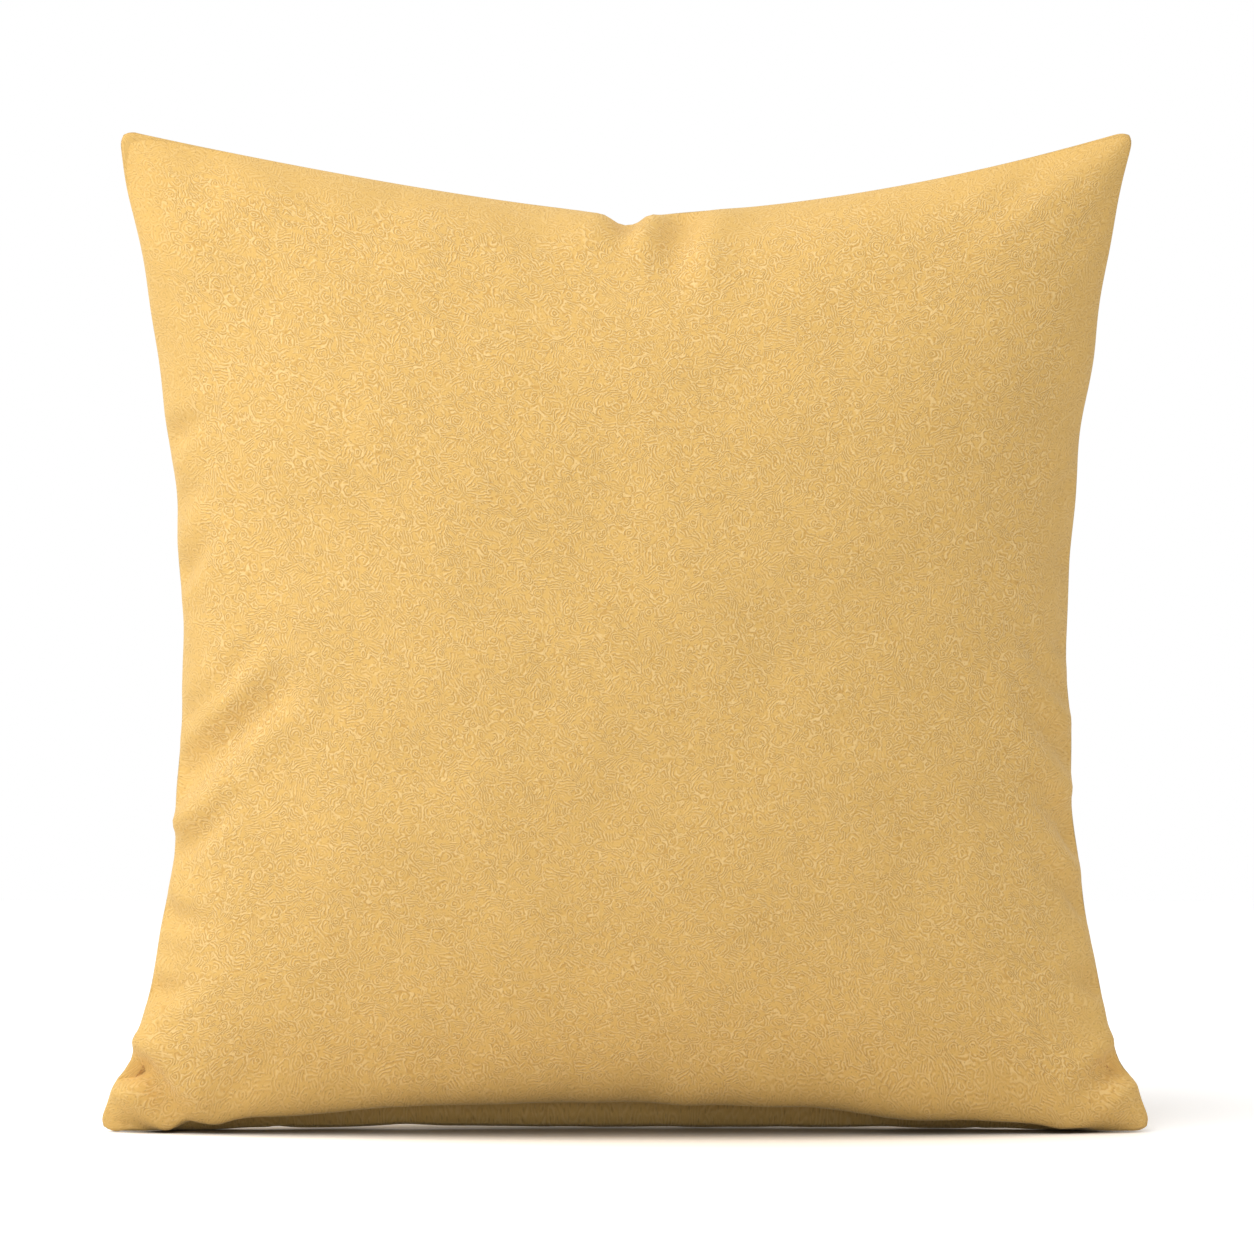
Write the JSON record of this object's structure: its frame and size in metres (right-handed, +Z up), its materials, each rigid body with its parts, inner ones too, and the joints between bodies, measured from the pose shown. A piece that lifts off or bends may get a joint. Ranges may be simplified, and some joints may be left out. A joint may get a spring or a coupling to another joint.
{
  "type": "throw pillow",
  "caption": "Square throw pillow: a soft golden cover with an embossed scrolling line pattern, closed by a hidden zip in its lower edge, over a sewn fibre-filled pad.",
  "frame": {"origin": "on the ground, midway between the two lower corners that the pillow stands on", "axes": "+X along the width, +Z up the height, and the front panel faces -Y"},
  "size_m": [0.4354, 0.165, 0.4184],
  "materials": {
    "cover_cloth": "soft short-pile cloth with fine raised scrolling lines",
    "cover_thread": "matt sewing thread",
    "label_satin": "smooth satin, blank",
    "zip_tape": "tight herringbone tape",
    "zip_teeth": "moulded, semi-matt",
    "zip_metal": "brushed",
    "pad_cloth": "plain non-woven cloth",
    "pad_thread": "matt sewing thread",
    "fibre": "loose polyester fibre"
  },
  "bodies": {
    "pillow": {"cover_front": "cover_cloth", "cover_back": "cover_cloth", "cover_seam_thread": "cover_thread", "cover_overlock": "cover_thread", "care_label": "label_satin", "zip_tape_front": "zip_tape", "zip_tape_back": "zip_tape", "zip_teeth_front": "zip_teeth", "zip_teeth_back": "zip_teeth", "zip_top_stop_front": "zip_metal", "zip_top_stop_back": "zip_metal", "zip_bottom_stop": "zip_metal", "zip_stitch_front": "cover_thread", "zip_stitch_back": "cover_thread", "zip_end_tack_left": "cover_thread", "zip_end_tack_right": "cover_thread", "pad_front_shell": "pad_cloth", "pad_back_shell": "pad_cloth", "pad_seam_thread": "pad_thread", "pad_closing_stitch": "pad_thread", "pad_care_label": "label_satin", "fibre_filling": "fibre"},
    "slider": {"zip_slider": "zip_metal"},
    "pull": {"zip_pull": "zip_metal"}
  },
  "joints": [
    {"name": "zip_slide", "type": "slide", "parent": "pillow", "child": "slider", "axis": [-1, 0, 0], "range_m": [0, 0.27], "deforming": ["zip_teeth_front", "zip_teeth_back"]},
    {"name": "pull_swing", "type": "hinge", "parent": "slider", "child": "pull", "pos_m": [0.134, 0, 0.0105], "axis": [0, -1, 0], "range_deg": [0, 175]}
  ]
}
